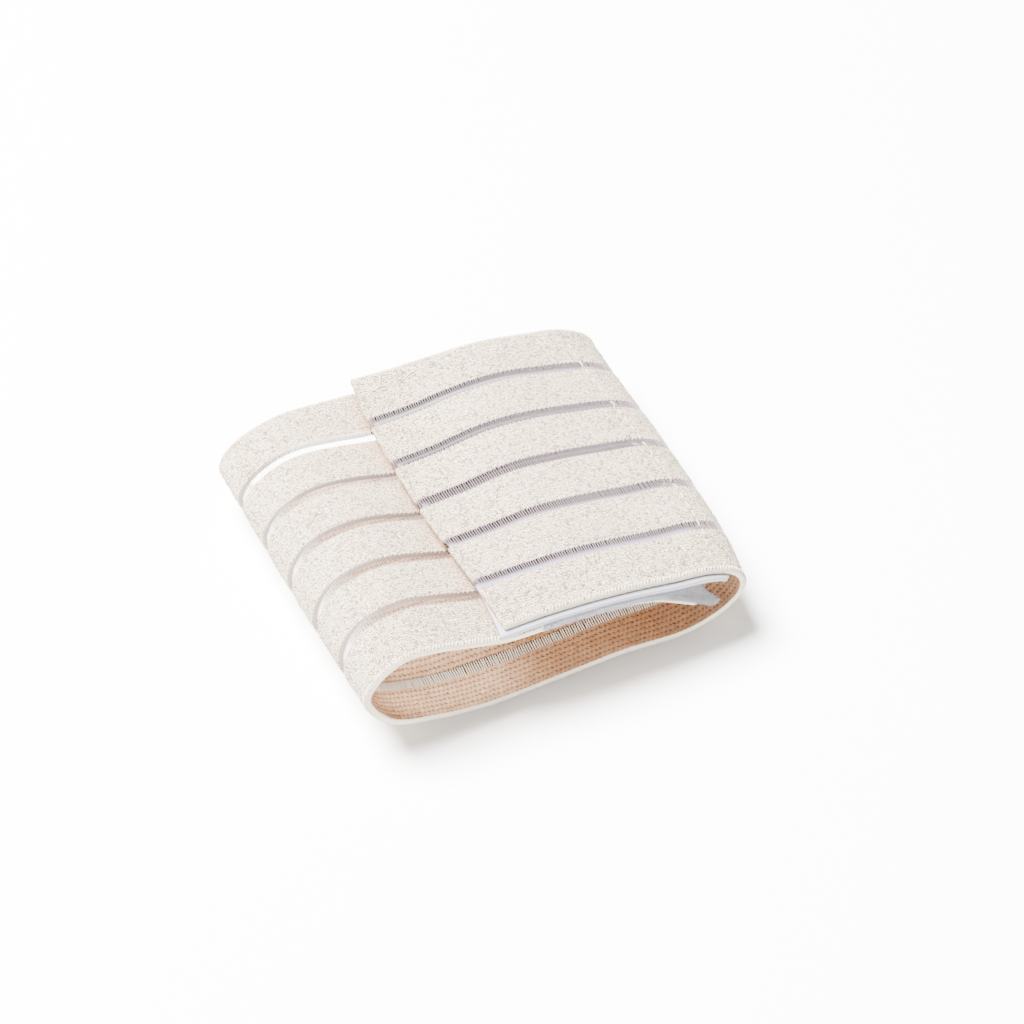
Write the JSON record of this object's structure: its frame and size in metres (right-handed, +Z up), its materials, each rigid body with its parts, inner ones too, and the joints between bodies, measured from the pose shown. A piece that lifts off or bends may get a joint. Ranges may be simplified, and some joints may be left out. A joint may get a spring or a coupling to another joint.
{
  "type": "wrist wrap",
  "caption": "Elastic wrist wrap of knitted ribs joined by open ladders, closed into a flattened loop by a pair of hook and loop tapes.",
  "frame": {"origin": "on the surface it lies on, below the middle of the whole wrap", "axes": "+Z up, +X from the left fold to the right fold, +Y from the front selvedge, where the picture looks in, to the back selvedge; the flap laps over from the right fold and ends left of the middle"},
  "size_m": [0.0902, 0.0812, 0.0273],
  "materials": {
    "elastic_knit": "matt knitted elastic, cream outside and skin-coloured inside",
    "ladder_filament": "clear nylon monofilament, slightly glossy",
    "hook_tape": "smooth white nylon tape with a lavender cast",
    "loop_tape": "fuzzy white-grey brushed loop pile"
  },
  "bodies": {
    "root": {"elastic_rib_1": "elastic_knit", "elastic_rib_2": "elastic_knit", "elastic_rib_3": "elastic_knit", "elastic_rib_4": "elastic_knit", "elastic_rib_5": "elastic_knit", "elastic_rib_6": "elastic_knit", "ladder_band_1": "ladder_filament", "ladder_band_2": "ladder_filament", "ladder_band_3": "ladder_filament", "ladder_band_4": "ladder_filament", "ladder_band_5": "ladder_filament", "hook_tape": "hook_tape", "loop_tape": "loop_tape"}
  },
  "joints": []
}
